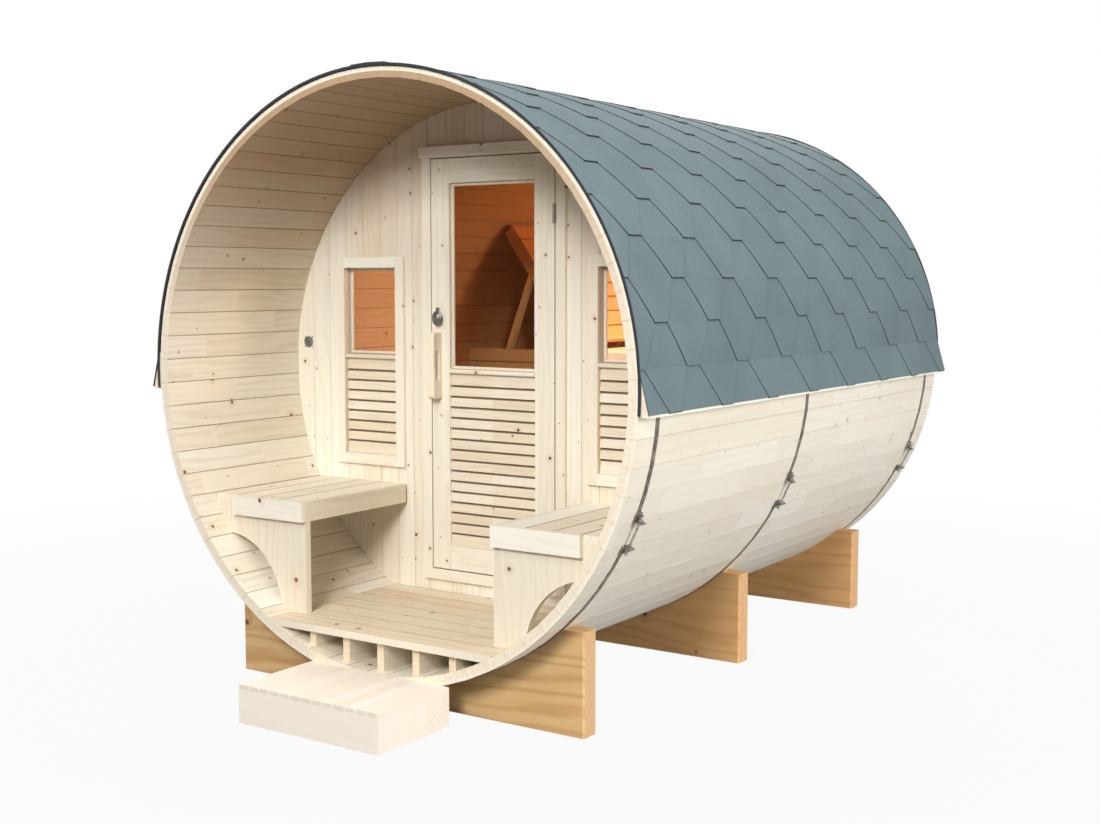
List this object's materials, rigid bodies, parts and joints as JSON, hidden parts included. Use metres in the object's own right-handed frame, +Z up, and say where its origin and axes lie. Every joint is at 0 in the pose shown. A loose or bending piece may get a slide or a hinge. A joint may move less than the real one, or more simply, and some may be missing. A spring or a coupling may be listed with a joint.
{
  "type": "outdoor barrel sauna",
  "caption": "Wooden barrel sauna on cradles with an open porch, side benches, glazed louvred door and shingled roof; the door swings out on side hinges.",
  "frame": {"origin": "on the ground, in the middle of the whole outline, step included", "axes": "+Z up, barrel axis along Y, porch and door towards -Y"},
  "size_m": [2.086, 2.855, 2.1014],
  "materials": {
    "spruce": "planed, unpainted",
    "pine": "planed, unpainted",
    "shingle": "mineral granules on bitumen",
    "glass": "bronze tinted",
    "strap": "satin",
    "steel": "galvanised"
  },
  "bodies": {
    "sauna": {"back_wall": "spruce", "backrest_prop": "spruce", "band_tighteners": "steel", "cabin_floor": "spruce", "cradle_front": "pine", "cradle_middle": "pine", "cradle_rear": "pine", "door_casing": "spruce", "door_frame": "spruce", "eaves_battens": "spruce", "floor_joists": "spruce", "frame_hinges": "steel", "front_step_sides": "spruce", "front_step_top": "spruce", "front_wall_left": "spruce", "front_wall_over_door": "spruce", "front_wall_right": "spruce", "front_wall_under_door": "spruce", "porch_bench_left_panel": "spruce", "porch_bench_left_seat": "spruce", "porch_bench_right_panel": "spruce", "porch_bench_right_seat": "spruce", "porch_floor": "spruce", "rear_backrest": "spruce", "rear_bench_front": "spruce", "rear_bench_top": "spruce", "roof_left": "shingle", "roof_ridge": "shingle", "roof_right": "shingle", "staves_bottom": "spruce", "staves_left": "spruce", "staves_right": "spruce", "staves_top": "spruce", "steel_bands": "strap", "wall_vent": "steel", "window_casings": "spruce", "window_glass": "glass", "window_louvres": "spruce"},
    "door": {"door_stiles": "spruce", "door_rails": "spruce", "door_glass": "glass", "door_louvre": "spruce", "door_handle": "spruce", "door_latch": "steel", "door_hinges": "steel"}
  },
  "joints": [
    {"name": "door_hinge", "type": "hinge", "parent": "sauna", "child": "door", "pos_m": [0.2745, -0.4315, 1.1], "axis": [0, 0, 1], "range_deg": [0, 95]}
  ]
}
